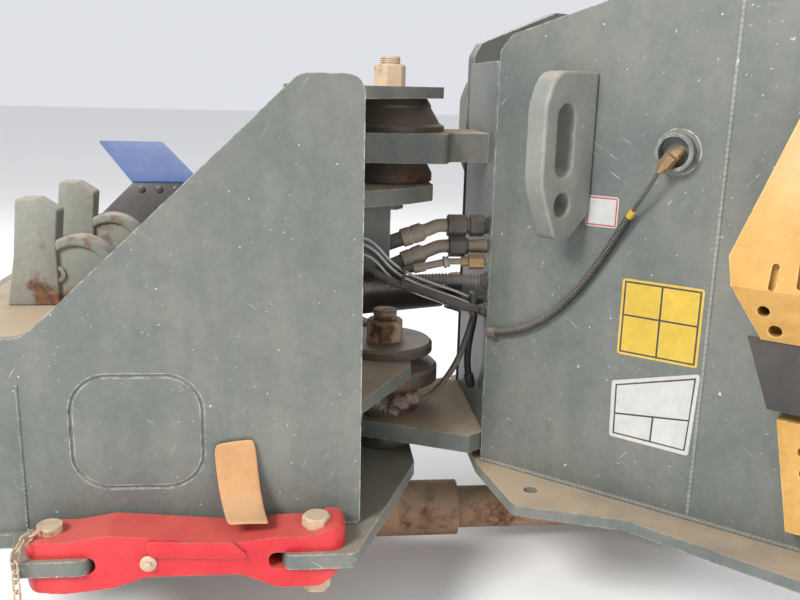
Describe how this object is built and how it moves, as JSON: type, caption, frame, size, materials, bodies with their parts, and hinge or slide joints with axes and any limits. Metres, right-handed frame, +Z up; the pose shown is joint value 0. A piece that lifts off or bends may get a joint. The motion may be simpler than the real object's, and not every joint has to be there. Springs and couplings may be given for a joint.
{
  "type": "articulated chassis pivot joint",
  "caption": "Centre pivot of an articulated site dumper: clevis plates and pins join two welded frame ends, with a steering ram, shaft and stowed lock bar.",
  "frame": {"origin": "centre of the front frame end's mounting face", "axes": "+X rearwards to the engine end, +Y to the side away from the lock bar, +Z up"},
  "size_m": [1.52, 1.496, 1.13],
  "materials": {
    "chassis_paint": "dusty satin grey-green paint",
    "rusty_steel": "surface rust",
    "greasy_iron": "dark grease and dirt",
    "cast_steel": "worn painted casting",
    "rusty_tube": "rough rust",
    "red_paint": "scratched red paint",
    "polished_rod": "polished",
    "dark_paint": "dark worn paint"
  },
  "bodies": {
    "front_frame": {"front_mount_plate": "chassis_paint", "front_base_plate": "chassis_paint", "front_deck": "chassis_paint", "front_gussets": "chassis_paint", "front_side_near": "chassis_paint", "front_side_far": "chassis_paint", "front_web_low": "chassis_paint", "front_web_high": "chassis_paint", "upper_plate": "chassis_paint", "upper_ear": "chassis_paint", "clevis_plate": "chassis_paint", "upper_pivot_pin": "rusty_steel", "upper_pivot_nut": "rusty_steel", "lower_pivot_pin": "rusty_steel", "lower_pivot_nut": "rusty_steel", "lower_pivot_cap": "greasy_iron", "ram_front_pin": "rusty_steel", "ram_front_bracket": "chassis_paint", "shaft_hanger_front": "chassis_paint", "shaft_stub_front": "rusty_tube", "lock_bar": "red_paint", "lock_bolt": "rusty_steel", "stow_pin": "rusty_steel", "skip_pivot_near": "cast_steel", "skip_pivot_far": "cast_steel"},
    "rear_frame": {"upper_dirt_cone": "greasy_iron", "upper_seal_ring": "greasy_iron", "lower_bearing_housing": "greasy_iron", "lower_seal_ring": "greasy_iron", "upper_lug": "chassis_paint", "lower_lug": "chassis_paint", "rear_nose_plate": "chassis_paint", "rear_floor": "chassis_paint", "rear_bulkhead": "chassis_paint", "ram_rear_pin": "rusty_steel", "ram_rear_ears": "chassis_paint", "rear_side_near": "chassis_paint", "rear_side_far": "chassis_paint", "lifting_eye_near": "chassis_paint", "lifting_eye_far": "chassis_paint", "shaft_hanger_rear": "chassis_paint", "shaft_stub_rear": "rusty_tube"},
    "ram_rod": {"steering_ram_rod": "polished_rod"},
    "ram_tube": {"steering_ram_tube": "dark_paint"},
    "shaft_front": {"shaft_front": "rusty_tube"},
    "shaft_rear": {"shaft_rear": "rusty_tube"}
  },
  "joints": [
    {"name": "articulation", "type": "hinge", "parent": "front_frame", "child": "rear_frame", "pos_m": [0.76, 0, 0.215], "axis": [0, 0, 1], "range_deg": [-33, 33]},
    {"name": "ram_rod_swing", "type": "hinge", "parent": "front_frame", "child": "ram_rod", "pos_m": [0.42676, 0.08929, 0.095], "axis": [0, 0, 1], "range_deg": [-16.5, 16.5]},
    {"name": "ram_tube_swing", "type": "hinge", "parent": "rear_frame", "child": "ram_tube", "pos_m": [0.95788, 0.28261, 0.095], "axis": [0, 0, 1], "range_deg": [-16.5, 16.5]},
    {"name": "shaft_front_swing", "type": "hinge", "parent": "front_frame", "child": "shaft_front", "pos_m": [0.2, 0, -0.315], "axis": [0, 0, 1], "range_deg": [-16.5, 16.5]},
    {"name": "shaft_rear_swing", "type": "hinge", "parent": "rear_frame", "child": "shaft_rear", "pos_m": [1.32, 0, -0.315], "axis": [0, 0, 1], "range_deg": [-16.5, 16.5]}
  ],
  "couplings": [
    {"joint": "ram_rod_swing", "follows": "articulation", "ratio": 0.5},
    {"joint": "ram_tube_swing", "follows": "articulation", "ratio": -0.5},
    {"joint": "shaft_front_swing", "follows": "articulation", "ratio": 0.5},
    {"joint": "shaft_rear_swing", "follows": "articulation", "ratio": -0.5}
  ]
}
